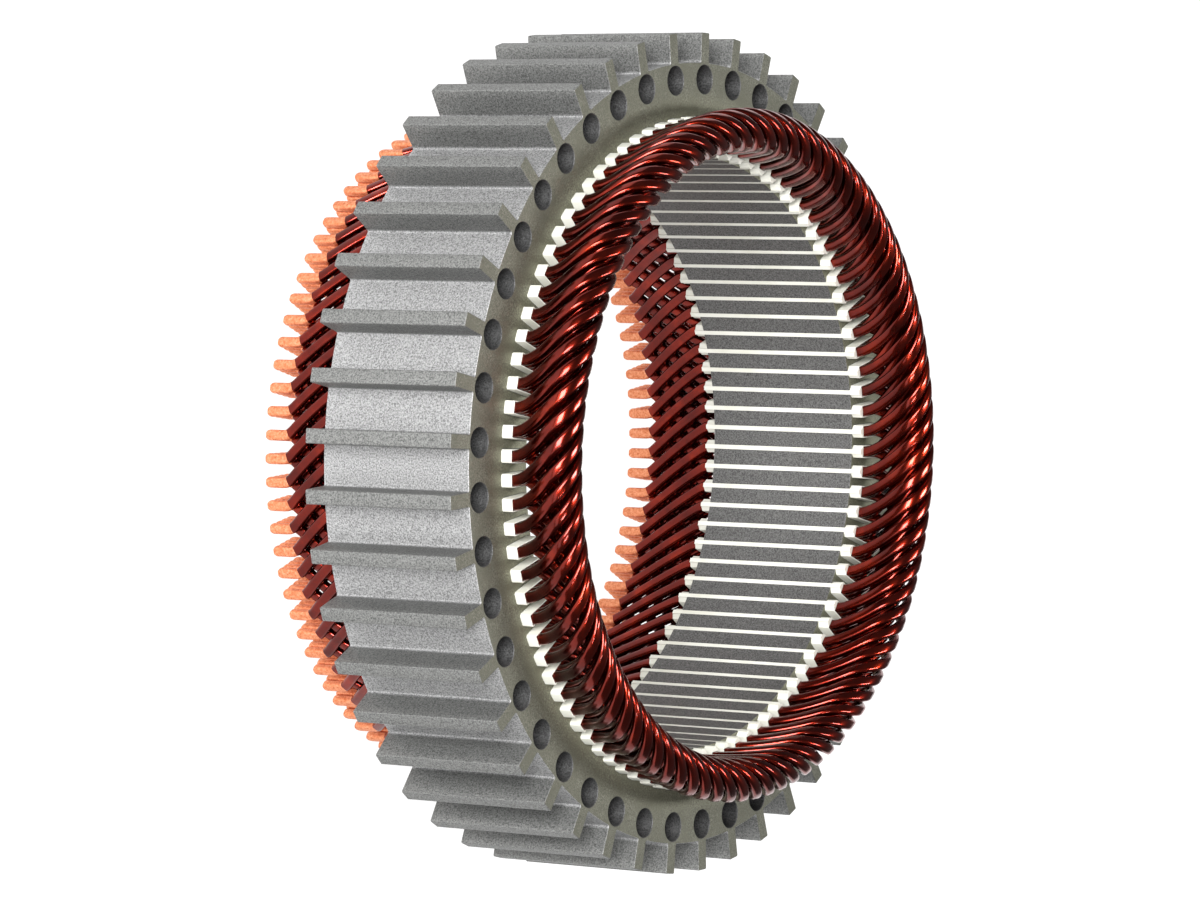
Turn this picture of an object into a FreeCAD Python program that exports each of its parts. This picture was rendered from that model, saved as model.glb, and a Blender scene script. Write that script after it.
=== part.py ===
import FreeCAD, Part
import math
import os
import Sketcher

os.makedirs("parts", exist_ok=True)
doc = FreeCAD.newDocument("wound_stator")

# Driving dimensions, in millimetres or as whole counts

DIMENSIONS = [
    ("stack_length", 36.6),
    ("bore_diameter", 126.5),
    ("yoke_diameter", 167.2),
    ("fin_tip_diameter", 180.0),
    ("fin_thickness", 3.1),
    ("fin_count", 45),
    ("hole_circle_diameter", 160.0),
    ("hole_diameter", 6.2),
    ("hole_flats", 12),
    ("slots_per_fin", 2),
    ("slots_per_pole", 5),
    ("slot_opening", 0.95),
    ("tooth_tip_thickness", 1.0),
    ("layer_count", 4),
    ("wire_width", 2.3),
    ("wire_thickness", 1.8),
    ("wire_clearance", 0.05),
    ("liner_thickness", 0.2),
    ("liner_clearance", 0.02),
    ("liner_overhang", 3.0),
    ("wire_exit", 0.6),
    ("crown_height", 16.6),
    ("crown_leg_slots", 1.85),
    ("crown_shoulder_inset", 0.2),
    ("weld_leg_length", 13.4),
    ("weld_stub_length", 7.4),
]

sheet = doc.addObject("Spreadsheet::Sheet", "dims")
for row, (alias, number) in enumerate(DIMENSIONS, start=1):
    sheet.set("A%d" % row, alias)
    sheet.set("B%d" % row, str(number))
    sheet.setAlias("B%d" % row, alias)
doc.recompute()

size = {alias: float(sheet.get(alias)) for alias, number in DIMENSIONS}

# Sizes that follow: each slot is as wide and deep as its wires with the paper round them

slot_count = round(size["fin_count"] * size["slots_per_fin"])
slots_per_pole = round(size["slots_per_pole"])
pole_count = math.ceil(slot_count / slots_per_pole)
slot_pitch = 360.0 / slot_count
half_stack = size["stack_length"] / 2.0
layer_pitch = size["wire_thickness"] + size["wire_clearance"]
liner_gap = size["liner_clearance"] + size["liner_thickness"]
first_layer_radius = (size["bore_diameter"] / 2.0 + size["tooth_tip_thickness"] + liner_gap
                      + size["wire_clearance"] + size["wire_thickness"] / 2.0)
last_layer_radius = first_layer_radius + (size["layer_count"] - 1.0) * layer_pitch

BORE = "(dims.bore_diameter / 2)"
CHAMBER_START = "(%s + dims.tooth_tip_thickness)" % BORE
PACKET_WIDTH = "(dims.wire_width + 2 * dims.wire_clearance)"
PACKET_DEPTH = "(dims.layer_count * (dims.wire_thickness + dims.wire_clearance) + dims.wire_clearance)"
LINER_WIDTH = "(%s + 2 * dims.liner_thickness)" % PACKET_WIDTH
LINER_DEPTH = "(%s + 2 * dims.liner_thickness)" % PACKET_DEPTH
SLOT_WIDTH = "(%s + 2 * dims.liner_clearance)" % LINER_WIDTH
CHAMBER_END = "(%s + %s + 2 * dims.liner_clearance)" % (CHAMBER_START, LINER_DEPTH)
LINER_LENGTH = "(dims.stack_length + 2 * dims.liner_overhang)"


def origin_feature(body, role):
    """The body's own plane or axis that has this role."""
    for feature in body.Origin.OriginFeatures:
        if feature.Role == role:
            return feature
    raise ValueError(role)


def middle_sketch(body, name):
    """A sketch on the body's XY plane, which is the middle of the stack."""
    sketch = body.newObject("Sketcher::SketchObject", name)
    sketch.AttachmentSupport = [(origin_feature(body, "XY_Plane"), "")]
    sketch.MapMode = "FlatFace"
    return sketch


def bind(sketch, name, constraint, formula):
    """Adds a constraint whose size comes from the sheet."""
    index = sketch.addConstraint(constraint)
    sketch.renameConstraint(index, name)
    sketch.setExpression("Constraints." + name, formula)


def add_axis_circle(sketch, name, radius, formula):
    """A circle round the stator's axis."""
    circle = Part.Circle(FreeCAD.Vector(0, 0, 0), FreeCAD.Vector(0, 0, 1), radius)
    index = sketch.addGeometry(circle, False)
    sketch.addConstraint(Sketcher.Constraint("Coincident", index, 3, -1, 1))
    bind(sketch, name, Sketcher.Constraint("Radius", index, radius), formula)


def add_outline(sketch, corners, mirrored):
    """A closed outline of level and upright lines, where the mirrored ones cross the X axis evenly."""
    lines = []
    for here, there in zip(corners, corners[1:] + corners[:1]):
        segment = Part.LineSegment(FreeCAD.Vector(*here, 0), FreeCAD.Vector(*there, 0))
        lines.append(sketch.addGeometry(segment, False))
    for here, there in zip(lines, lines[1:] + lines[:1]):
        sketch.addConstraint(Sketcher.Constraint("Coincident", here, 2, there, 1))
    for place, line in enumerate(lines):
        here, there = corners[place], corners[(place + 1) % len(corners)]
        if place in mirrored:
            sketch.addConstraint(Sketcher.Constraint("Symmetric", line, 1, line, 2, -1))
        elif here[0] == there[0]:
            sketch.addConstraint(Sketcher.Constraint("Vertical", line))
        else:
            sketch.addConstraint(Sketcher.Constraint("Horizontal", line))
    return lines


def polar_pattern(body, feature, name, count_formula):
    """Repeats a feature evenly round the stator's axis, as the body's new tip."""
    pattern = body.newObject("PartDesign::PolarPattern", name)
    pattern.Originals = [feature]
    pattern.Axis = (origin_feature(body, "Z_Axis"), [""])
    pattern.Angle = 360.0
    pattern.setExpression("Occurrences", count_formula)
    body.Tip = pattern
    doc.recompute()


def stack_pad(body, sketch, name):
    """Raises a sketch to the length of the stack, half each side of its middle."""
    pad = body.newObject("PartDesign::Pad", name)
    pad.Profile = sketch
    pad.SideType = "Symmetric"
    pad.setExpression("Length", "dims.stack_length")
    body.Tip = pad
    doc.recompute()
    return pad


def stack_pocket(body, sketch, name):
    """Cuts a sketch through the whole stack and makes sure that it removes metal."""
    volume_before = body.Shape.Volume
    pocket = body.newObject("PartDesign::Pocket", name)
    pocket.Profile = sketch
    pocket.SideType = "Symmetric"
    pocket.setExpression("Length", "dims.stack_length * 2")
    body.Tip = pocket
    doc.recompute()
    if body.Shape.Volume >= volume_before:
        raise RuntimeError(name + " removes nothing")
    return pocket


# Stator core: a stack of steel sheets with cooling fins outside and wire slots inside

core = doc.addObject("PartDesign::Body", "Core")
core.Label = "stator_core"

yoke_sketch = middle_sketch(core, "YokeSketch")
add_axis_circle(yoke_sketch, "outer", size["yoke_diameter"] / 2.0, "dims.yoke_diameter / 2")
add_axis_circle(yoke_sketch, "bore", size["bore_diameter"] / 2.0, BORE)
stack_pad(core, yoke_sketch, "Yoke")

FIN_ROOT = "(dims.yoke_diameter / 2 - dims.fin_thickness / 2)"
fin_half = size["fin_thickness"] / 2.0
fin_root = size["yoke_diameter"] / 2.0 - fin_half
fin_tip = size["fin_tip_diameter"] / 2.0
fin_sketch = middle_sketch(core, "FinSketch")
fin_lines = add_outline(fin_sketch, [
    (fin_root, -fin_half),
    (fin_tip, -fin_half),
    (fin_tip, fin_half),
    (fin_root, fin_half),
], mirrored=[1])
bind(fin_sketch, "root", Sketcher.Constraint("DistanceX", -1, 1, fin_lines[0], 1, fin_root), FIN_ROOT)
bind(fin_sketch, "tip", Sketcher.Constraint("DistanceX", -1, 1, fin_lines[0], 2, fin_tip),
     "dims.fin_tip_diameter / 2")
bind(fin_sketch, "thickness", Sketcher.Constraint("DistanceY", fin_lines[1], 1, fin_lines[1], 2, 2 * fin_half),
     "dims.fin_thickness")
fin_pad = stack_pad(core, fin_sketch, "Fin")
polar_pattern(core, fin_pad, "Fins", "dims.fin_count")

holed_from = core.Shape.Volume
hole = core.newObject("PartDesign::SubtractivePrism", "Hole")
hole.AttachmentSupport = [(origin_feature(core, "XY_Plane"), "")]
hole.MapMode = "FlatFace"
hole.setExpression("Polygon", "dims.hole_flats")
hole.setExpression("Circumradius", "dims.hole_diameter / 2 / cos(180 deg / dims.hole_flats)")
hole.setExpression("Height", "dims.stack_length * 2")
hole.setExpression("AttachmentOffset.Base.x", "dims.hole_circle_diameter / 2")
hole.setExpression("AttachmentOffset.Base.z", "-dims.stack_length")
core.Tip = hole
doc.recompute()
if core.Shape.Volume >= holed_from:
    raise RuntimeError("Hole removes nothing")
polar_pattern(core, hole, "Holes", "dims.fin_count")

# One slot: a wide chamber for the wires behind a narrow mouth between two tooth tips

mouth_start = size["bore_diameter"] / 2.0 - size["tooth_tip_thickness"]
chamber_start = size["bore_diameter"] / 2.0 + size["tooth_tip_thickness"]
chamber_half = size["wire_width"] / 2.0 + size["wire_clearance"] + liner_gap
chamber_end = last_layer_radius + size["wire_thickness"] / 2.0 + size["wire_clearance"] + liner_gap
mouth_half = size["slot_opening"] / 2.0
slot_sketch = middle_sketch(core, "SlotSketch")
slot_lines = add_outline(slot_sketch, [
    (mouth_start, -mouth_half),
    (chamber_start, -mouth_half),
    (chamber_start, -chamber_half),
    (chamber_end, -chamber_half),
    (chamber_end, chamber_half),
    (chamber_start, chamber_half),
    (chamber_start, mouth_half),
    (mouth_start, mouth_half),
], mirrored=[3, 7])
slot_sketch.addConstraint(Sketcher.Constraint("Vertical", slot_lines[0], 2, slot_lines[6], 1))
bind(slot_sketch, "mouth_start", Sketcher.Constraint("DistanceX", -1, 1, slot_lines[0], 1, mouth_start),
     "dims.bore_diameter / 2 - dims.tooth_tip_thickness")
bind(slot_sketch, "chamber_start", Sketcher.Constraint("DistanceX", -1, 1, slot_lines[0], 2, chamber_start),
     CHAMBER_START)
bind(slot_sketch, "chamber_end", Sketcher.Constraint("DistanceX", -1, 1, slot_lines[2], 2, chamber_end),
     CHAMBER_END)
bind(slot_sketch, "mouth_width", Sketcher.Constraint("DistanceY", slot_lines[7], 2, slot_lines[7], 1, 2 * mouth_half),
     "dims.slot_opening")
bind(slot_sketch, "chamber_width", Sketcher.Constraint("DistanceY", slot_lines[3], 1, slot_lines[3], 2, 2 * chamber_half),
     SLOT_WIDTH)
slot_sketch.setExpression("AttachmentOffset.Rotation.Angle", "180 / (dims.fin_count * dims.slots_per_fin)")
slot_pocket = stack_pocket(core, slot_sketch, "Slot")
polar_pattern(core, slot_pocket, "Slots", "dims.fin_count * dims.slots_per_fin")


def around(shape, slot_numbers):
    """Copies of a piece made for the X axis, each turned to its own slot."""
    copies = []
    for slot in slot_numbers:
        copy = shape.copy()
        copy.rotate(FreeCAD.Vector(0, 0, 0), FreeCAD.Vector(0, 0, 1), (slot + 0.5) * slot_pitch)
        copies.append(copy)
    return copies


def slots_of_pole(pole):
    """The slots of one pole, in step round the ring."""
    first = pole * slots_per_pole
    return range(first, min(first + slots_per_pole, slot_count))


def add_group(name, shapes):
    """One named sub-part that holds like pieces, each a solid of its own."""
    group = doc.addObject("Part::Feature", name)
    group.Label = name
    group.Shape = Part.Compound(shapes)
    group.Placement = FreeCAD.Placement()
    return group


# Slot liner: a sleeve of insulating paper that lines a slot and stands out of both faces

sleeve = doc.addObject("Part::Box", "LinerOutside")
sleeve.setExpression("Length", LINER_DEPTH)
sleeve.setExpression("Width", LINER_WIDTH)
sleeve.setExpression("Height", LINER_LENGTH)
sleeve.setExpression("Placement.Base.x", CHAMBER_START + " + dims.liner_clearance")
sleeve.setExpression("Placement.Base.y", "-%s / 2" % LINER_WIDTH)
sleeve.setExpression("Placement.Base.z", "-%s / 2" % LINER_LENGTH)

hollow = doc.addObject("Part::Box", "LinerInside")
hollow.setExpression("Length", PACKET_DEPTH)
hollow.setExpression("Width", PACKET_WIDTH)
hollow.setExpression("Height", LINER_LENGTH)
hollow.setExpression("Placement.Base.x", CHAMBER_START + " + dims.liner_clearance + dims.liner_thickness")
hollow.setExpression("Placement.Base.y", "-%s / 2" % PACKET_WIDTH)
hollow.setExpression("Placement.Base.z", "-%s / 2" % LINER_LENGTH)

liner = doc.addObject("Part::Cut", "SlotLiner")
liner.Base = sleeve
liner.Tool = hollow
doc.recompute()


# Hairpin: flat copper wire, bent over the crown from the outermost layer to the innermost

def ring_point(radius, slots, height):
    """A place given by its radius, its angle in slot pitches and its height."""
    angle = math.radians(slots * slot_pitch)
    return FreeCAD.Vector(radius * math.cos(angle), radius * math.sin(angle), height)


def ring_normal(slots, outward, upward):
    """A direction square to the wire's broad face, at this angle round the ring."""
    angle = math.radians(slots * slot_pitch)
    normal = FreeCAD.Vector(outward * math.cos(angle), outward * math.sin(angle), upward)
    return normal.normalize()


def mitre_corners(before, here, after, normal):
    """The four corners of the wire where one straight run meets the next."""
    arriving = (here - before).normalize()
    leaving = (after - here).normalize()
    along = (arriving + leaving).normalize()
    across = normal.cross(along).normalize()
    through = along.cross(across).normalize()
    turn = leaving - arriving
    half_turn_cosine = math.sqrt(max(0.0, 1.0 - (turn.Length / 2.0) ** 2))
    corners = []
    for side, face in ((-1, -1), (1, -1), (1, 1), (-1, 1)):
        offset = (across * (side * size["wire_width"] / 2.0)
                  + through * (face * size["wire_thickness"] / 2.0))
        if turn.Length > 1e-6:
            turn_direction = FreeCAD.Vector(turn).normalize()
            stretch = 1.0 / half_turn_cosine - 1.0
            offset = offset + turn_direction * (offset.dot(turn_direction) * stretch)
        corners.append(here + offset)
    return corners


def flat_faces(a, b, c, d):
    """The face a-b-c-d as one flat face, or as two folded along a-c where the wire twists."""
    square = (b - a).cross(c - a)
    if abs(square.normalize().dot(d - a)) < 1e-6:
        return [Part.Face(Part.makePolygon([a, b, c, d, a]))]
    return [
        Part.Face(Part.makePolygon([a, b, c, a])),
        Part.Face(Part.makePolygon([a, c, d, a])),
    ]


def bent_wire(places, normals):
    """A solid of flat wire along straight runs, mitred where they meet."""
    path = [places[0] * 2 - places[1]] + places + [places[-1] * 2 - places[-2]]
    rings = []
    for number, normal in enumerate(normals, start=1):
        rings.append(mitre_corners(path[number - 1], path[number], path[number + 1], normal))
    faces = flat_faces(*reversed(rings[0])) + flat_faces(*rings[-1])
    for here, there in zip(rings, rings[1:]):
        for corner in range(4):
            following = (corner + 1) % 4
            faces += flat_faces(here[corner], here[following], there[following], there[corner])
    shell = Part.Shell(faces)
    shell.sewShape()
    solid = Part.Solid(shell)
    if solid.Volume < 0:
        solid.reverse()
    return solid


half_coil = slots_per_pole / 2.0
bend_start = half_stack + size["liner_overhang"] + size["wire_exit"]
crown_line = half_stack + size["crown_height"] - size["wire_thickness"] / 2.0
leg_end = bend_start + size["weld_leg_length"]
stub_end = leg_end + size["weld_stub_length"]
outer_shoulder = last_layer_radius - size["crown_shoulder_inset"]
inner_shoulder = first_layer_radius + size["crown_shoulder_inset"]
crown_legs = size["crown_leg_slots"]

hairpin_places = [
    ring_point(last_layer_radius, half_coil, -stub_end),
    ring_point(last_layer_radius, half_coil, -leg_end),
    ring_point(last_layer_radius, 0, -bend_start),
    ring_point(last_layer_radius, 0, bend_start),
    ring_point(outer_shoulder, -crown_legs, crown_line),
    ring_point(inner_shoulder, crown_legs - slots_per_pole, crown_line),
    ring_point(first_layer_radius, -slots_per_pole, bend_start),
    ring_point(first_layer_radius, -slots_per_pole, -bend_start),
    ring_point(first_layer_radius, -slots_per_pole - half_coil, -leg_end),
    ring_point(first_layer_radius, -slots_per_pole - half_coil, -stub_end),
]
hairpin_normals = [
    ring_normal(half_coil, 1, 0),
    ring_normal(half_coil, 1, 0),
    ring_normal(0, 1, 0),
    ring_normal(0, 1, 0),
    ring_normal(-crown_legs, 1, 1),
    ring_normal(crown_legs - slots_per_pole, -1, 1),
    ring_normal(-slots_per_pole, -1, 0),
    ring_normal(-slots_per_pole, -1, 0),
    ring_normal(-slots_per_pole - half_coil, -1, 0),
    ring_normal(-slots_per_pole - half_coil, -1, 0),
]
hairpin = bent_wire(hairpin_places, hairpin_normals)

# The winding, pole by pole: each slot holds one liner and is where one hairpin starts

nodes = [core]
for pole in range(pole_count):
    slots = slots_of_pole(pole)
    nodes.append(add_group("slot_liners_pole_%02d" % (pole + 1), around(liner.Shape, slots)))
    nodes.append(add_group("hairpins_pole_%02d" % (pole + 1), around(hairpin, slots)))

doc.recompute()
for item in doc.Objects:
    if "Invalid" in item.State or "Error" in item.State:
        raise RuntimeError(item.Name + " failed to build")
for node in nodes:
    if node.Shape.isNull() or not node.Shape.isValid() or node.Shape.Volume <= 0:
        raise RuntimeError(node.Label + " is not a sound solid")
for node in nodes:
    node.Shape.exportStep("parts/%s.step" % node.Label)
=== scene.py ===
import math

import bmesh
import bpy
import numpy as np
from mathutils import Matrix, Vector
from mathutils.geometry import tessellate_polygon


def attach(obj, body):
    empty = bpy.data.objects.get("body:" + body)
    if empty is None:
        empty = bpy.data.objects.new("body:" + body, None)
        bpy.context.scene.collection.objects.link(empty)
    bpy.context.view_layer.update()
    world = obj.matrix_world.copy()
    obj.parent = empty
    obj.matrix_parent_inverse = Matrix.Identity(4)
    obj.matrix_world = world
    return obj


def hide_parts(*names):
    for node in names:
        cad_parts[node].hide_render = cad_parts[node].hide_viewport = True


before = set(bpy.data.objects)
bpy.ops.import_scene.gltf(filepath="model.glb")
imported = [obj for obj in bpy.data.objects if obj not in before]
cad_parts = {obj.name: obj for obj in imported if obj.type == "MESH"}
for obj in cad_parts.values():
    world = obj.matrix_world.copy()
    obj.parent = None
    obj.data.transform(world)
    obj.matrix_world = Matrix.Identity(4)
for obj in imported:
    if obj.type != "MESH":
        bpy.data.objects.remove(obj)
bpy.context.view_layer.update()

scene = bpy.context.scene


# Camera
# The view is the one of the photograph, found by fitting a pinhole camera to the holes, the slots
# and the fins. The ring stands on its weld stubs and the camera is rolled, so that the ring's +Y
# is up.

camera_data = bpy.data.cameras.new("view")
camera_data.sensor_width = 36.0
camera_data.lens = 169.54
camera_data.clip_start = 0.05
camera_data.clip_end = 20.0
camera = bpy.data.objects.new("view", camera_data)
camera.location = (-1.00997, 0.06387, 0.68203)
camera.rotation_euler = [math.radians(angle) for angle in (-3.2338, -55.7039, 0.2916)]
scene.collection.objects.link(camera)
scene.camera = camera


# Stator core
# One stack of thin electrical steel sheets, stamped with forty-five cooling fins, a hole at the
# root of each and two wire slots per fin. Its sides show the cut edges of the sheets, its front
# the top sheet.

MM = 0.001
STACK_HALF = 18.3
BORE_RADIUS = 63.25
YOKE_RADIUS = 83.6
FIN_TIP = 90.0
FIN_HALF = 1.55
FIN_COUNT = 45
FIN_ROOT_FILLET = 0.35
FIN_CORNER = 0.3
VALLEY_ANGLES = (-4.0, -3.4, -2.8, -2.2, -1.7)
HOLE_REACH = 80.0
HOLE_RADIUS = 3.1
SLOT_PITCH = 360.0 / (2 * FIN_COUNT)
MOUTH_HALF = 0.5
LIP_DEPTH = 0.3
CHAMBER_START = 64.25
CHAMBER_END = 72.14
CHAMBER_HALF = 1.42
STACK_CHAMFER = 0.12
CHAMBER_CORNER = 0.4
SHEET_THICK = 0.35
HOLE_STEPS = 36
BORE_STEPS = 4
NEARLY_STRAIGHT = 1e-4
SAME_PLACE = 1e-6


def polar(radius, degrees):
    """A point of the sheet's outline from its radius and its angle."""
    angle = math.radians(degrees)
    return Vector((radius * math.cos(angle), radius * math.sin(angle)))


def arc(centre, radius, start, end, steps):
    """Points along an arc, with both of its ends."""
    return [centre + polar(radius, start + (end - start) * step / steps)
            for step in range(steps + 1)]


def fin_side():
    """The outline from the middle of a valley to the middle of the fin's tip, below the X axis."""
    valley = [polar(YOKE_RADIUS, degrees) for degrees in VALLEY_ANGLES]
    reach = math.sqrt((YOKE_RADIUS + FIN_ROOT_FILLET) ** 2 - (FIN_HALF + FIN_ROOT_FILLET) ** 2)
    centre = Vector((reach, -FIN_HALF - FIN_ROOT_FILLET))
    start = math.degrees(math.atan2(-centre.y, -centre.x))
    fillet = arc(centre, FIN_ROOT_FILLET, start, 90.0, 4)
    corner = arc(Vector((FIN_TIP - FIN_CORNER, -FIN_HALF + FIN_CORNER)), FIN_CORNER, -90.0, 0.0, 3)
    return valley + fillet + corner


def slot_outline(degrees):
    """One slot from its mouth round its chamber and back, from the upper tooth to the lower one."""
    mouth = math.sqrt(BORE_RADIUS ** 2 - MOUTH_HALF ** 2)
    half = [
        (mouth, MOUTH_HALF),
        (mouth + LIP_DEPTH, MOUTH_HALF),
        (CHAMBER_START, CHAMBER_HALF),
        (CHAMBER_END - CHAMBER_CORNER, CHAMBER_HALF),
        (CHAMBER_END, CHAMBER_HALF - CHAMBER_CORNER),
    ]
    whole = half + [(x, -y) for x, y in reversed(half)]
    cosine, sine = math.cos(math.radians(degrees)), math.sin(math.radians(degrees))
    return [Vector((x * cosine - y * sine, x * sine + y * cosine)) for x, y in whole]


def sheet_sector():
    """The outline of the sheet round one fin, and where it runs along its cuts."""
    lower = fin_side()
    upper = [Vector((point.x, -point.y)) for point in reversed(lower)]
    tooth_edge = math.degrees(math.asin(MOUTH_HALF / BORE_RADIUS))
    half_pitch = SLOT_PITCH / 2.0
    outline = lower + upper
    seam_first = len(outline) - 1
    tooth_half = half_pitch - tooth_edge
    outline += [polar(BORE_RADIUS, SLOT_PITCH - tooth_half * step / BORE_STEPS)
                for step in range(BORE_STEPS)]
    outline += slot_outline(half_pitch)
    outline += [polar(BORE_RADIUS, tooth_half * (1.0 - step / BORE_STEPS))
                for step in range(1, 2 * BORE_STEPS)]
    outline += slot_outline(-half_pitch)
    outline += [polar(BORE_RADIUS, -half_pitch - tooth_edge - tooth_half * step / BORE_STEPS)
                for step in range(1, BORE_STEPS + 1)]
    return outline, {seam_first, len(outline) - 1}


def inset(points, amount, still):
    """The same loop moved inwards, except along the edges that start at the points in still."""
    moved = []
    for place, point in enumerate(points):
        arriving = (point - points[place - 1]).normalized()
        leaving = (points[(place + 1) % len(points)] - point).normalized()
        first = Vector((-arriving.y, arriving.x))
        second = Vector((-leaving.y, leaving.x))
        first_move = 0.0 if (place - 1) % len(points) in still else amount
        second_move = 0.0 if place in still else amount
        across = first.x * second.y - first.y * second.x
        if abs(across) < NEARLY_STRAIGHT:
            moved.append(point + first * first_move)
        else:
            moved.append(point + Vector(((first_move * second.y - second_move * first.y) / across,
                                         (second_move * first.x - first_move * second.x) / across)))
    return moved


def mesh_object(name, vertices, faces, smooth_angle):
    """A new object of the scene with smooth faces and sharp edges beyond an angle."""
    mesh = bpy.data.meshes.new(name)
    mesh.from_pydata(vertices, [], faces)
    mesh.validate()
    builder = bmesh.new()
    builder.from_mesh(mesh)
    bmesh.ops.remove_doubles(builder, verts=builder.verts, dist=SAME_PLACE)
    bmesh.ops.recalc_face_normals(builder, faces=builder.faces)
    builder.to_mesh(mesh)
    builder.free()
    mesh.shade_smooth()
    mesh.set_sharp_from_angle(angle=math.radians(smooth_angle))
    piece = bpy.data.objects.new(name, mesh)
    scene.collection.objects.link(piece)
    return piece


def core_sector():
    """Vertices and faces of the stack round one fin, in millimetres."""
    outline, seams = sheet_sector()
    hole_centre, last_step = Vector((HOLE_REACH, 0.0)), 360.0 - 360.0 / HOLE_STEPS
    hole = arc(hole_centre, HOLE_RADIUS, 0.0, last_step, HOLE_STEPS - 1)
    wide_hole = arc(hole_centre, HOLE_RADIUS + STACK_CHAMFER, 0.0, last_step, HOLE_STEPS - 1)
    inner_outline = inset(outline, STACK_CHAMFER, seams)
    levels = [
        (inner_outline + wide_hole, -STACK_HALF),
        (outline + hole, -STACK_HALF + STACK_CHAMFER),
        (outline + hole, STACK_HALF - STACK_CHAMFER),
        (inner_outline + wide_hole, STACK_HALF),
    ]
    vertices = [(point.x, point.y, height) for points, height in levels for point in points]
    loop = len(outline)
    ring = len(outline) + len(hole)
    spans = len(levels) - 1
    faces = []
    for level in range(spans):
        low, high = level * ring, (level + 1) * ring
        for place in range(loop):
            following = (place + 1) % loop
            if place not in seams:
                faces.append((low + place, low + following, high + following, high + place))
        for place in range(len(hole)):
            following = (place + 1) % len(hole)
            faces.append((low + loop + following, low + loop + place,
                          high + loop + place, high + loop + following))
    cap = tessellate_polygon([[Vector((point.x, point.y, 0.0)) for point in inner_outline],
                              [Vector((point.x, point.y, 0.0)) for point in reversed(wide_hole)]])
    back = list(range(loop)) + list(range(ring - 1, loop - 1, -1))
    for triangle in cap:
        faces.append(tuple(back[corner] for corner in triangle))
        faces.append(tuple(back[corner] + spans * ring for corner in triangle))
    return np.array(vertices), faces


def turned(vertices, degrees):
    """Points turned round the ring's axis."""
    angle = math.radians(degrees)
    cosine, sine = math.cos(angle), math.sin(angle)
    return np.stack([vertices[:, 0] * cosine - vertices[:, 1] * sine,
                     vertices[:, 0] * sine + vertices[:, 1] * cosine, vertices[:, 2]], axis=1)


def ring_of(vertices, faces, angles):
    """Copies of one piece of mesh, turned to each of the angles, as one list in metres."""
    all_vertices = []
    all_faces = []
    for degrees in angles:
        start = len(all_vertices)
        all_vertices += [tuple(point) for point in turned(vertices, degrees) * MM]
        all_faces += [tuple(start + corner for corner in face) for face in faces]
    return all_vertices, all_faces


sector_vertices, sector_faces = core_sector()
fin_angles = [360.0 / FIN_COUNT * fin for fin in range(FIN_COUNT)]
core_vertices, core_faces = ring_of(sector_vertices, sector_faces, fin_angles)
core = mesh_object("stator_core_stack", core_vertices, core_faces, smooth_angle=28.0)


class Shader:
    """Adds nodes to a tree, sets their inputs and joins them."""

    def __init__(self, tree):
        self.tree = tree

    def add(self, kind, settings=None, **inputs):
        """A node of a kind, with its settings, and its inputs given as numbers or sockets."""
        node = self.tree.nodes.new(kind)
        for name, value in (settings or {}).items():
            setattr(node, name, value)
        for name, value in inputs.items():
            self.put(node, name, value)
        return node

    def put(self, node, name, value):
        """Sets or joins one input of a node, by its name or its number."""
        socket = node.inputs[name]
        if isinstance(value, bpy.types.NodeSocket):
            self.tree.links.new(value, socket)
        else:
            socket.default_value = value

    def math(self, operation, first, second=0.0):
        """The result of a calculation."""
        node = self.tree.nodes.new("ShaderNodeMath")
        node.operation = operation
        self.put(node, 0, first)
        self.put(node, 1, second)
        return node.outputs[0]

    def ramp(self, value, stops):
        """A value or colour read from a ramp of (place, colour) stops."""
        node = self.tree.nodes.new("ShaderNodeValToRGB")
        elements = node.color_ramp.elements
        while len(elements) < len(stops):
            elements.new(0.5)
        for element, (place, colour) in zip(elements, stops):
            element.position = place
            element.color = (*colour, 1.0)
        self.put(node, 0, value)
        return node.outputs[0]

    def blend(self, share, first, second, mode="MIX"):
        """A mix of two colours."""
        node = self.tree.nodes.new("ShaderNodeMix")
        node.data_type = "RGBA"
        node.blend_type = mode
        self.put(node, 0, share)
        for place, value in ((6, first), (7, second)):
            if isinstance(value, tuple) and len(value) == 3:
                value = (*value, 1.0)
            self.put(node, place, value)
        return node.outputs[2]

    def noise(self, place, scale, detail, roughness):
        """Fractal noise between nought and one."""
        node = self.tree.nodes.new("ShaderNodeTexNoise")
        self.put(node, "Vector", place)
        self.put(node, "Scale", scale)
        self.put(node, "Detail", detail)
        self.put(node, "Roughness", roughness)
        return node.outputs[0]


def grey(level):
    """A neutral colour."""
    return (level, level, level)


def new_material(name):
    """An empty material and the shader that writes it."""
    material = bpy.data.materials.new(name)
    material.use_nodes = True
    material.node_tree.nodes.clear()
    return material, Shader(material.node_tree)


def new_group(name, inputs, outputs):
    """A node group with named sockets, its writer and its two ends."""
    tree = bpy.data.node_groups.new(name, "ShaderNodeTree")
    for label, kind in inputs:
        tree.interface.new_socket(label, in_out="INPUT", socket_type=kind)
    for label, kind in outputs:
        tree.interface.new_socket(label, in_out="OUTPUT", socket_type=kind)
    return tree, Shader(tree), tree.nodes.new("NodeGroupInput"), tree.nodes.new("NodeGroupOutput")


grain_group, grain, grain_in, grain_out = new_group(
    "fine_grain",
    [("Place", "NodeSocketVector"), ("Scale", "NodeSocketFloat")],
    [("Grain", "NodeSocketFloat"), ("Cloud", "NodeSocketFloat")])
speck = grain.noise(grain_in.outputs["Place"], grain_in.outputs["Scale"], 3.0, 0.75)
grain.put(grain_out, "Grain", grain.ramp(speck, [(0.30, grey(0)), (0.70, grey(1))]))
cloud_scale = grain.math("MULTIPLY", grain_in.outputs["Scale"], 0.07)
grain.put(grain_out, "Cloud", grain.noise(grain_in.outputs["Place"], cloud_scale, 4.0, 0.6))


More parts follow.
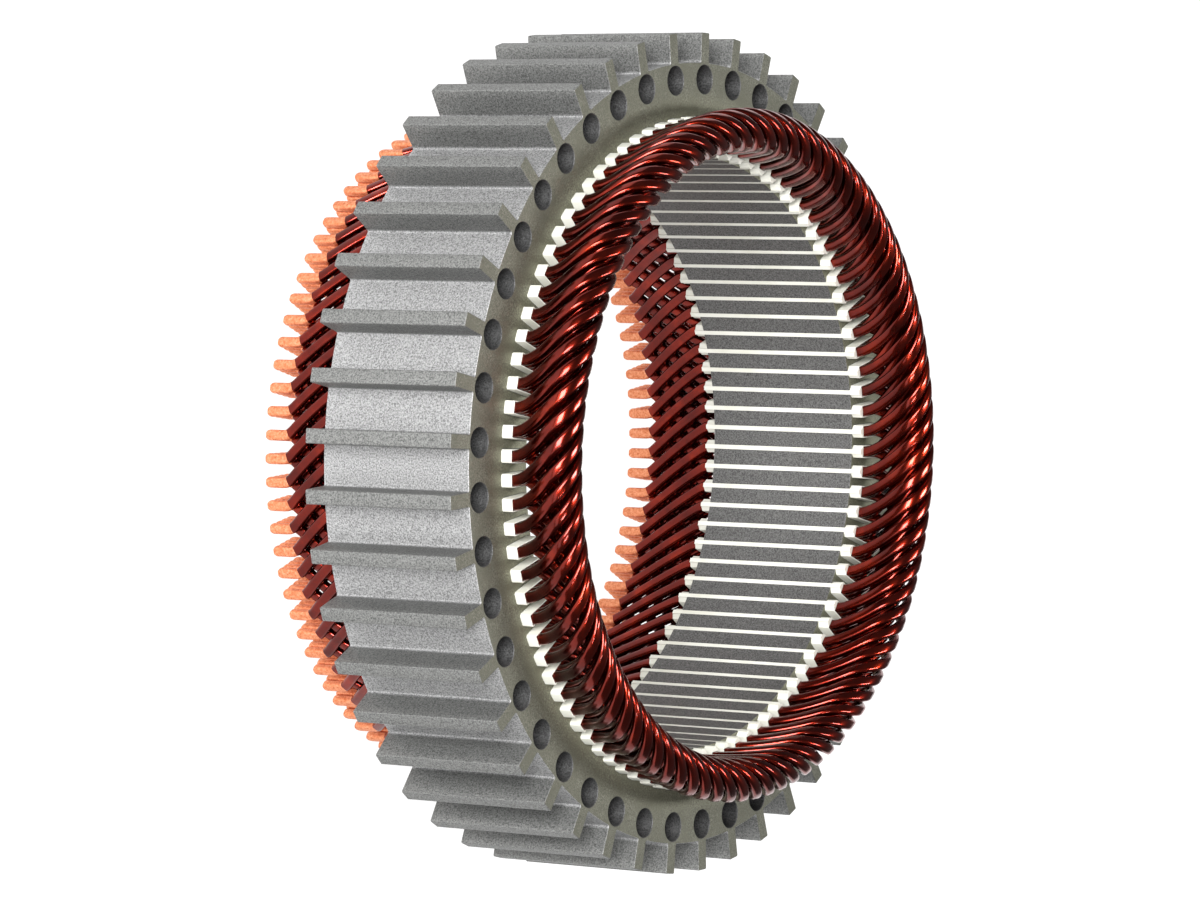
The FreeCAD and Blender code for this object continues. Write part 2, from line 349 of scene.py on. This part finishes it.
def use_grain(shader, place, scale):
    """The two outputs of the grain at a place and a scale."""
    node = shader.tree.nodes.new("ShaderNodeGroup")
    node.node_tree = grain_group
    shader.put(node, "Place", place)
    shader.put(node, "Scale", scale)
    return node.outputs["Grain"], node.outputs["Cloud"]


# The steel's tone goes by the distance from the axis, read as a share of a span in metres. This
# distance carries painted shade and painted light on the cut sides and a painted reflection of the
# paper on the top sheet.
TONE_START = 0.060
TONE_SPAN = 0.031

core_material, steel = new_material("electrical_steel")
steel_place = steel.add("ShaderNodeTexCoord").outputs["Object"]
steel_normal = steel.add("ShaderNodeNewGeometry").outputs["Normal"]
steel_up = steel.add("ShaderNodeSeparateXYZ", Vector=steel_normal).outputs["Z"]
face_mask = steel.ramp(steel.math("ABSOLUTE", steel_up), [(0.80, grey(0)), (0.97, grey(1))])
grain_value, cloud_value = use_grain(steel, steel_place, 2800.0)
steel_axes = steel.add("ShaderNodeSeparateXYZ", Vector=steel_place)
reach_squared = steel.math("ADD", steel.math("POWER", steel_axes.outputs["X"], 2.0),
                           steel.math("POWER", steel_axes.outputs["Y"], 2.0))
reach = steel.math("SUBTRACT", steel.math("SQRT", reach_squared), TONE_START)
reach_share = steel.math("DIVIDE", reach, TONE_SPAN)
bore_tone, fin_tone, painted_tip_light = (0.15, 0.15, 0.147), (0.165, 0.167, 0.162), (0.215, 0.217, 0.21)
# Painted light and shade on the cut sides: dark hole walls and slot backs as painted shade, light
# valley floors and lighter fin tips as painted light.
painted_side_light_and_shade = steel.ramp(reach_share, [
    (0.30, bore_tone), (0.40, grey(0.11)), (0.752, grey(0.11)), (0.757, grey(0.38)),
    (0.768, grey(0.38)), (0.785, fin_tone), (0.90, fin_tone), (0.962, painted_tip_light)])
speckle = steel.ramp(grain_value, [(0.15, grey(0.34)), (0.5, grey(0.86)), (0.85, grey(1.26))])
side_colour = steel.blend(1.0, painted_side_light_and_shade, speckle, "MULTIPLY")
sheet_colour = steel.ramp(grain_value, [
    (0.0, (0.055, 0.055, 0.043)), (0.5, (0.125, 0.125, 0.10)), (1.0, (0.23, 0.23, 0.19))])
sheet_patch = steel.ramp(cloud_value, [(0.35, grey(0)), (0.7, grey(1))])
sheet_colour = steel.blend(sheet_patch, sheet_colour, (0.11, 0.11, 0.085))
# Painted reflection: the top sheet is made lighter near the slots, as if lit by the white paper
# that stands out of them.
painted_paper_reflection = steel.ramp(reach_share, [
    (0.40, (1.5, 1.5, 1.36)), (0.56, (1.08, 1.08, 1.05)), (0.95, grey(1.0))])
sheet_colour = steel.blend(1.0, sheet_colour, painted_paper_reflection, "MULTIPLY")
steel_colour = steel.blend(face_mask, side_colour, sheet_colour)
sheet_turns = 2.0 * math.pi / (SHEET_THICK * MM)
layer_wave = steel.math("SINE", steel.math("MULTIPLY", steel_axes.outputs["Z"], sheet_turns))
relief = steel.math("ADD", steel.math("MULTIPLY", grain_value, 0.8),
                    steel.math("MULTIPLY", layer_wave, 0.08))
steel_bump = steel.add("ShaderNodeBump", Strength=0.8, Distance=0.00008)
steel.put(steel_bump, "Height", relief)
steel_bsdf = steel.add("ShaderNodeBsdfPrincipled", Metallic=0.6, Roughness=0.5)
steel.put(steel_bsdf, "Base Color", steel_colour)
steel.put(steel_bsdf, "Normal", steel_bump.outputs[0])
steel.put(steel.add("ShaderNodeOutputMaterial"), "Surface", steel_bsdf.outputs[0])
core.data.materials.append(core_material)
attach(core, "root")
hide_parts("stator_core")


# Slot liners
# A folded sleeve of off-white insulating paper in each slot, pushed in from one end. It stands out
# of both faces of the stack, and shows as a white line in the narrow mouth of its slot.

LINER_GAP = 0.02
LINER_START = CHAMBER_START + LINER_GAP
LINER_END = CHAMBER_END - LINER_GAP
LINER_HALF = CHAMBER_HALF - LINER_GAP
LINER_THICK = 0.2
LINER_OUT = 2.5
LINER_EDGE = 0.06
NECK_START = BORE_RADIUS + 0.07
NECK_LENGTH = 0.32
NECK_HALF = MOUTH_HALF - LINER_GAP
SHOULDER = 0.45
FOLD = 0.05
OUTER_CORNER = 0.35
INNER_CORNER = 0.15
INNER_FOLD = 0.1
INNER_STEP = 0.3
UNEVEN_ENDS = 0.2
POLE_COUNT = 18
SLOTS_PER_POLE = 2 * FIN_COUNT // POLE_COUNT


def sleeve_outside(shrink):
    """The sleeve's outer outline, with its neck in the slot's mouth, drawn in by an amount."""
    neck, half, corner = NECK_HALF - shrink, LINER_HALF - shrink, OUTER_CORNER - shrink
    end = LINER_END - shrink - corner
    upper = [Vector((NECK_START + shrink, neck)), Vector((NECK_START + NECK_LENGTH, neck)),
             Vector((LINER_START + FOLD, half - FOLD)), Vector((LINER_START + SHOULDER, half))]
    upper += arc(Vector((end, half - corner)), corner, 90.0, 0.0, 4)
    return upper + [Vector((point.x, -point.y)) for point in reversed(upper)]


def sleeve_inside():
    """The sleeve's inner outline, with as many points as the outer one."""
    half, corner = LINER_HALF - LINER_THICK, INNER_CORNER
    start, end = LINER_START + LINER_THICK, LINER_END - LINER_THICK - corner
    upper = [Vector((start, INNER_STEP)), Vector((start, half - INNER_STEP)),
             Vector((start, half - INNER_FOLD)), Vector((start + INNER_FOLD, half))]
    upper += arc(Vector((end, half - corner)), corner, 90.0, 0.0, 4)
    return upper + [Vector((point.x, -point.y)) for point in reversed(upper)]


def liner_mesh(top, bottom):
    """One sleeve, in millimetres, from its lower to its upper end."""
    outside = sleeve_outside(0.0)
    inside = sleeve_inside()
    count = len(outside)
    eased_edge = sleeve_outside(LINER_EDGE)
    loops = [
        (inside, bottom), (eased_edge, bottom), (outside, bottom + LINER_EDGE),
        (outside, top - LINER_EDGE), (eased_edge, top), (inside, top),
    ]
    vertices = [(point.x, point.y, height) for points, height in loops for point in points]
    faces = []
    for level in range(len(loops)):
        low, high = level * count, ((level + 1) % len(loops)) * count
        for place in range(count):
            following = (place + 1) % count
            faces.append((low + place, low + following, high + following, high + place))
    return np.array(vertices), faces


paper_material, paper = new_material("insulating_paper")
paper_place = paper.add("ShaderNodeTexCoord").outputs["Object"]
paper_grain, paper_cloud = use_grain(paper, paper_place, 1500.0)
paper_colour = paper.ramp(paper_cloud, [(0.3, (0.65, 0.645, 0.56)), (0.6, (0.73, 0.73, 0.665))])
paper_bump = paper.add("ShaderNodeBump", Strength=0.15, Distance=0.00004)
paper.put(paper_bump, "Height", paper_grain)
paper_bsdf = paper.add("ShaderNodeBsdfPrincipled", Roughness=0.62)
paper.put(paper_bsdf, "Base Color", paper_colour)
paper.put(paper_bsdf, "Normal", paper_bump.outputs[0])
paper.put(paper.add("ShaderNodeOutputMaterial"), "Surface", paper_bsdf.outputs[0])

draw = np.random.default_rng(7)
sleeve_end = STACK_HALF + LINER_OUT
for pole in range(POLE_COUNT):
    pole_vertices, pole_faces = [], []
    for slot in range(pole * SLOTS_PER_POLE, (pole + 1) * SLOTS_PER_POLE):
        short = draw.uniform(0.0, UNEVEN_ENDS, 2)
        sleeve_vertices, sleeve_faces = liner_mesh(sleeve_end - short[0], short[1] - sleeve_end)
        placed, joined = ring_of(sleeve_vertices, sleeve_faces, [(slot + 0.5) * SLOT_PITCH])
        pole_faces += [tuple(len(pole_vertices) + corner for corner in face) for face in joined]
        pole_vertices += placed
    liners = mesh_object("slot_papers_pole_%02d" % (pole + 1), pole_vertices, pole_faces,
                         smooth_angle=35.0)
    liners.data.materials.append(paper_material)
    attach(liners, "root")
    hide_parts("slot_liners_pole_%02d" % (pole + 1))


# Hairpins
# Flat copper wire under dark red-brown enamel, bent to a hairpin and pushed through two slots. The
# outer ones join the outermost and the innermost layer, the inner ones nest below them. At the
# weld end each leg leans aside and ends in a stub, stripped to bare copper.

WIRE_WIDTH = 2.36
WIRE_THICK = 1.8
LAYER_PITCH = 1.85
FIRST_LAYER = 65.42
WIRE_CORNER = 0.68
BEND_START = STACK_HALF + LINER_OUT + 0.6
LEG_END = 37.0
STUB_END = 42.7
WELD_SLOTS = 2.5
WELD_SLOPES = (0.62, 1.0)
WELD_STEPS = 24
CROWN_SLOPES = (0.36, 1.30)
CROWN_STEPS = 28
OUTER_FLARE = 2.1
OUTER_BASE = 30.65
OUTER_CROWN_SLOTS = 2.5
INNER_FLARE = 1.4
INNER_BASE = 30.7
INNER_CROWN_SLOTS = 2.0
PATH_STEP = 0.5
STRAIGHT_KEPT = 2.4
BARE_LENGTH = 5.9
BARE_STEP = 0.12
SKIN_SHARE = 0.03
TIP_LENGTH = WIRE_WIDTH * 0.4
TIP_BREADTH = 0.35
TIP_DEPTH = 0.80
TIP_ANGLES = (12, 35, 55, 75, 90)


def lean_share(slopes, share):
    """How much of its lean a leg has made at a share of its length, as its slope grows evenly."""
    first, last = slopes
    return (first * share + (last - first) * share * share / 2.0) / ((first + last) / 2.0)


def half_hairpin(leg, side, flare, middle, base, crown_slots, weld_slots):
    """Half a hairpin, from its stub's tip to its crown's top, as (radius, slots, height, tilt)."""
    foot = 0.0 if side > 0 else math.pi
    stations = [(leg, weld_slots, -STUB_END, foot), (leg, weld_slots, -LEG_END, foot)]
    for share in np.linspace(1.0, 0.0, WELD_STEPS)[1:]:
        stations.append((leg, weld_slots * lean_share(WELD_SLOPES, share),
                         -BEND_START - (LEG_END - BEND_START) * share, foot))
    rise = base - BEND_START
    reach = abs(leg + flare - middle)
    length = rise + reach * math.pi / 2.0
    for share in np.linspace(0.0, 1.0, CROWN_STEPS):
        gone = share * length
        turn = max(0.0, gone - rise) / reach
        if gone < rise:
            up = gone / rise
            radius = leg + flare * up * up * (3.0 - 2.0 * up)
            height = BEND_START + gone
        else:
            radius = middle + side * reach * math.cos(turn)
            height = base + reach * math.sin(turn)
        slots = -side * crown_slots * lean_share(CROWN_SLOPES, share)
        stations.append((radius, slots, height, abs(foot - turn)))
    return stations


def eased(stations):
    """The same path with its corners rounded into bends, and no stations deep in the slot."""
    path = np.array(stations)
    along = path[:, 1] * math.radians(SLOT_PITCH) * path[:, 0]
    travel = np.stack([path[:, 0], along, path[:, 2]], axis=1)
    lengths = np.concatenate([[0.0], np.cumsum(np.linalg.norm(np.diff(travel, axis=0), axis=1))])
    even = np.linspace(0.0, lengths[-1], int(lengths[-1] / PATH_STEP))
    dense = np.stack([np.interp(even, lengths, path[:, column]) for column in range(4)], axis=1)
    kernel = np.array([1.0, 2.0, 3.0, 4.0, 3.0, 2.0, 1.0]) / 16.0
    smooth = dense.copy()
    for column in range(4):
        smooth[3:-3, column] = np.convolve(dense[:, column], kernel, "valid")
    last = len(smooth) - 1
    shown = BEND_START - STRAIGHT_KEPT
    return smooth[[place for place in range(last + 1)
                   if place in (0, last) or (place % 2 == 0 and abs(smooth[place, 2]) > shown)]]


def hairpin_stations(inner, outer, flare, base, first_slots, weld_slots):
    """A whole hairpin: outer leg, crown and inner leg, whose ends lean opposite ways."""
    middle = (inner + outer + flare) / 2.0
    second_slots = SLOTS_PER_POLE - first_slots
    first = half_hairpin(outer, 1, flare, middle, base, first_slots, weld_slots)
    second = half_hairpin(inner, -1, 0.0, middle, base, second_slots, -weld_slots)
    over = [(radius, slots - SLOTS_PER_POLE, height, tilt)
            for radius, slots, height, tilt in second[::-1][1:]]
    return eased(first + over)


def wire_section():
    """The flat wire's section with rounded corners, as (across, through) from its middle."""
    points = []
    flat_half = WIRE_WIDTH / 2.0 - WIRE_CORNER
    edge_half = WIRE_THICK / 2.0 - WIRE_CORNER
    for across, through, start in ((1, 1, 0.0), (-1, 1, 90.0), (-1, -1, 180.0), (1, -1, 270.0)):
        centre = Vector((across * flat_half, through * edge_half))
        points += [tuple(point) for point in arc(centre, WIRE_CORNER, start, start + 90.0, 3)]
    return np.array(points)


def wire_mesh(stations):
    """The section swept along the stations: vertices, faces and their depths in the bare ends."""
    radii, slots, heights, tilts = stations.T
    angles = np.radians(slots * SLOT_PITCH)
    places = np.stack([radii * np.cos(angles), radii * np.sin(angles), heights], axis=1)
    normals = np.stack([np.cos(tilts) * np.cos(angles), np.cos(tilts) * np.sin(angles),
                        np.sin(tilts)], axis=1)
    lengths = np.concatenate([[0.0], np.cumsum(np.linalg.norm(np.diff(places, axis=0), axis=1))])
    total = lengths[-1]
    tip_marks = [TIP_LENGTH * (1.0 - math.cos(math.radians(degrees)))
                 for degrees in TIP_ANGLES]
    end_marks = tip_marks + [BARE_LENGTH - BARE_STEP, BARE_LENGTH + BARE_STEP]
    extra = end_marks + [total - mark for mark in end_marks]
    marks = np.unique(np.round(np.concatenate([lengths[1:-1], extra]), 4))
    outermost = tip_marks[0] - SAME_PLACE
    marks = marks[(marks > outermost) & (marks < total - outermost)]
    at = np.stack([np.interp(marks, lengths, places[:, axis]) for axis in range(3)], axis=1)
    out = np.stack([np.interp(marks, lengths, normals[:, axis]) for axis in range(3)], axis=1)
    ahead = np.gradient(at, axis=0)
    ahead /= np.linalg.norm(ahead, axis=1, keepdims=True)
    out -= ahead * np.sum(out * ahead, axis=1, keepdims=True)
    out /= np.linalg.norm(out, axis=1, keepdims=True)
    across = np.cross(ahead, out)
    from_end = np.minimum(marks, total - marks)
    skin = np.where(from_end < BARE_LENGTH, 1.0 - SKIN_SHARE, 1.0)
    nose = np.clip(from_end / TIP_LENGTH, 0.0, 1.0)
    rounding = TIP_BREADTH + (1.0 - TIP_BREADTH) * np.sqrt(1.0 - (1.0 - nose) ** 2)
    broad, thin = wire_section().T[:, None, :, None]
    broad = broad * (skin * rounding)[:, None, None]
    thin = thin * (skin * (TIP_DEPTH + (1.0 - TIP_DEPTH) * rounding))[:, None, None]
    vertices = at[:, None, :] + across[:, None, :] * broad + out[:, None, :] * thin
    rings, count = vertices.shape[:2]
    faces = []
    for ring in range(rings - 1):
        for place in range(count):
            following = (place + 1) % count
            faces.append((ring * count + place, ring * count + following,
                          (ring + 1) * count + following, (ring + 1) * count + place))
    faces.append(tuple(range(count))[::-1])
    faces.append(tuple((rings - 1) * count + place for place in range(count)))
    bare_margin = np.repeat(BARE_LENGTH - from_end, count)
    return vertices.reshape(-1, 3), faces, bare_margin


wire_material, wire = new_material("enamelled_wire")
wire_place = wire.add("ShaderNodeTexCoord").outputs["Object"]
wire_margin = wire.add("ShaderNodeAttribute", {"attribute_name": "bare_margin"}).outputs["Fac"]
fine, cloud = use_grain(wire, wire_place, 1800.0)
raggedness = wire.math("MULTIPLY", wire.math("SUBTRACT", cloud, 0.5), 0.9)
ragged = wire.math("ADD", wire_margin, raggedness)
bare_mask = wire.ramp(ragged, [(0.0, grey(0)), (0.08, grey(1))])
enamel_colour = wire.ramp(cloud, [
    (0.30, (0.09, 0.006, 0.003)), (0.55, (0.18, 0.011, 0.004)), (0.75, (0.33, 0.023, 0.005))])
copper_colour = wire.ramp(fine, [
    (0.0, (0.55, 0.15, 0.055)), (0.5, (0.80, 0.29, 0.14)), (1.0, (0.95, 0.47, 0.28))])
enamel_bump = wire.add("ShaderNodeBump", Strength=0.12, Distance=0.00005)
wire.put(enamel_bump, "Height", cloud)
enamel = wire.add("ShaderNodeBsdfPrincipled", Metallic=1.0, Roughness=0.24)
wire.put(enamel, "Base Color", enamel_colour)
wire.put(enamel, "Coat Weight", 0.4)
wire.put(enamel, "Coat Roughness", 0.06)
wire.put(enamel, "Normal", enamel_bump.outputs[0])
copper_bump = wire.add("ShaderNodeBump", Strength=0.5, Distance=0.00006)
wire.put(copper_bump, "Height", fine)
copper = wire.add("ShaderNodeBsdfPrincipled", Metallic=0.85, Roughness=0.48)
wire.put(copper, "Base Color", copper_colour)
wire.put(copper, "Normal", copper_bump.outputs[0])
wire_mix = wire.add("ShaderNodeMixShader")
wire.put(wire_mix, 0, bare_mask)
wire.put(wire_mix, 1, enamel.outputs[0])
wire.put(wire_mix, 2, copper.outputs[0])
wire.put(wire.add("ShaderNodeOutputMaterial"), "Surface", wire_mix.outputs[0])


def add_hairpins(name, pole, stations):
    """The five hairpins that start in one pole's slots, as one piece."""
    vertices, faces, margin = wire_mesh(stations)
    count = SLOTS_PER_POLE
    slot_angles = [(pole * count + slot + 0.5) * SLOT_PITCH for slot in range(count)]
    places = np.concatenate([turned(vertices, degrees) for degrees in slot_angles]) * MM
    joined = [tuple(slot * len(vertices) + corner for corner in face)
              for slot in range(count) for face in faces]
    mesh = bpy.data.meshes.new(name)
    mesh.from_pydata(places.tolist(), [], joined)
    mesh.shade_smooth()
    mesh.set_sharp_from_angle(angle=math.radians(50.0))
    attribute = mesh.attributes.new("bare_margin", "FLOAT", "POINT")
    attribute.data.foreach_set("value", np.tile(margin, count).astype(np.float32))
    mesh.materials.append(wire_material)
    piece = bpy.data.objects.new(name, mesh)
    scene.collection.objects.link(piece)
    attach(piece, "root")
    return piece


outer_stations = hairpin_stations(FIRST_LAYER, FIRST_LAYER + 3 * LAYER_PITCH,
                                  OUTER_FLARE, OUTER_BASE, OUTER_CROWN_SLOTS, WELD_SLOTS)
inner_stations = hairpin_stations(FIRST_LAYER + LAYER_PITCH, FIRST_LAYER + 2 * LAYER_PITCH,
                                  INNER_FLARE, INNER_BASE, INNER_CROWN_SLOTS, -WELD_SLOTS)
for pole in range(POLE_COUNT):
    outer_pins = add_hairpins("outer_hairpins_pole_%02d" % (pole + 1), pole, outer_stations)
    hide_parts("hairpins_pole_%02d" % (pole + 1))
    add_hairpins("inner_hairpins_pole_%02d" % (pole + 1), pole, inner_stations)


# Floor and light
# A pale floor under the weld stubs, which glows so that it stays white right up to the ring. Round
# it are a key lamp, a wide low panel, a thin strip that draws fine lines along the wires, and a
# strip above and beyond the ring.

FLOOR_HALF = 3.0
floor_mesh = bpy.data.meshes.new("floor")
floor_mesh.from_pydata([(-FLOOR_HALF, -FLOOR_HALF, 0), (FLOOR_HALF, -FLOOR_HALF, 0),
                        (FLOOR_HALF, FLOOR_HALF, 0), (-FLOOR_HALF, FLOOR_HALF, 0)],
                       [], [(0, 1, 2, 3)])
floor = bpy.data.objects.new("floor", floor_mesh)
floor.location.z = -STUB_END * MM
scene.collection.objects.link(floor)
floor_material, ground = new_material("pale_floor")
ground_bsdf = ground.add("ShaderNodeBsdfPrincipled", Roughness=0.8)
ground.put(ground_bsdf, "Base Color", (0.12, 0.12, 0.12, 1.0))
ground.put(ground_bsdf, "Emission Color", (1.0, 1.0, 1.0, 1.0))
ground.put(ground_bsdf, "Emission Strength", 0.98)
ground.put(ground.add("ShaderNodeOutputMaterial"), "Surface", ground_bsdf.outputs[0])
floor_mesh.materials.append(floor_material)


def add_lamp(name, place, width, height, power):
    """A white rectangular lamp that looks at the middle of the ring."""
    data = bpy.data.lights.new(name, "AREA")
    data.shape = "RECTANGLE"
    data.size = width
    data.size_y = height
    data.energy = power
    lamp = bpy.data.objects.new(name, data)
    lamp.location = place
    direction = Vector((0.0, 0.0, 0.0)) - Vector(place)
    lamp.rotation_euler = direction.to_track_quat("-Z", "Y").to_euler()
    scene.collection.objects.link(lamp)


add_lamp("key_lamp", (-1.05, 0.25, 0.58), 0.55, 0.5, 26.0)
add_lamp("side_panel", (-1.3, 0.0, 0.3), 1.4, 0.4, 3.0)
add_lamp("thin_strip", (-0.85, -0.45, 1.0), 0.04, 0.5, 4.0)
add_lamp("top_strip", (0.42, 0.0, 1.14), 0.15, 0.6, 11.0)
world = bpy.data.worlds.new("studio")
scene.world = world
world.use_nodes = True
world.node_tree.nodes["Background"].inputs["Color"].default_value = (1.0, 1.0, 1.0, 1.0)
world.node_tree.nodes["Background"].inputs["Strength"].default_value = 0.13
scene.view_settings.view_transform = "Standard"
